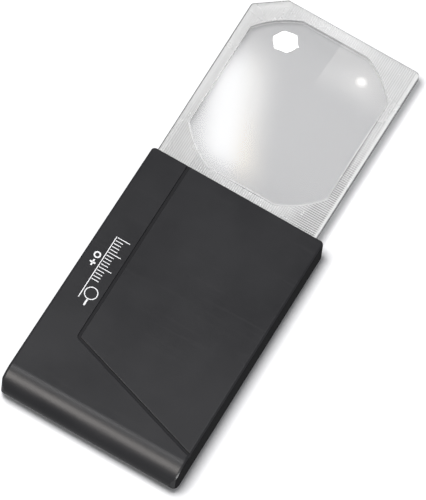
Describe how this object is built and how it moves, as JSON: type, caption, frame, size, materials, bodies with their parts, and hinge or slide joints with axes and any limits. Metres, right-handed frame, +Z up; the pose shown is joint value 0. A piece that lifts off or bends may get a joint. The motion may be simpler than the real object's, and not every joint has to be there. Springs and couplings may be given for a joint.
{
  "type": "magnifying glass",
  "caption": "Pocket magnifier whose clear lens plate slides out of a flat black case with a round battery barrel, for reading with light at the plate's edge.",
  "frame": {"origin": "middle of the case's flat underside, halfway between the mouth and the barrel's lowest line", "axes": "+Y from the battery barrel towards the lens, +Z up out of the face panel, +X to the right across the case"},
  "size_m": [0.0566, 0.1424, 0.0128],
  "materials": {
    "case_plastic": "satin",
    "lens_acrylic": "polished",
    "carriage_plastic": "matte",
    "screw_steel": "satin",
    "spring_steel": "satin",
    "contact_metal": "satin",
    "board_laminate": "satin",
    "led_phosphor": "satin",
    "reflector_white": "satin",
    "chip_epoxy": "matte",
    "coil_ferrite": "matte",
    "capacitor_ceramic": "matte",
    "cell_wrap": "satin"
  },
  "bodies": {
    "case": {"top_shell": "case_plastic", "bottom_shell": "case_plastic", "face_panel": "case_plastic", "positive_strip": "contact_metal", "negative_strip": "contact_metal", "battery": "cell_wrap", "battery_spring": "spring_steel"},
    "lens_slide": {"lens_plate": "lens_acrylic", "slide_carriage": "carriage_plastic", "carriage_cap": "carriage_plastic", "carriage_screws": "screw_steel", "friction_spring": "contact_metal", "led_board": "board_laminate", "leds": "led_phosphor", "led_reflector": "reflector_white", "driver_chip": "chip_epoxy", "boost_coil": "coil_ferrite", "capacitors": "capacitor_ceramic", "wiper_contacts": "contact_metal"},
    "battery_hatch": {"battery_door": "case_plastic"}
  },
  "joints": [
    {"name": "lens_slide_in", "type": "slide", "parent": "case", "child": "lens_slide", "axis": [0, 1, 0], "range_m": [-0.0564, 0]},
    {"name": "battery_door_slide", "type": "slide", "parent": "case", "child": "battery_hatch", "axis": [0, -1, 0], "range_m": [0, 0.014]}
  ]
}
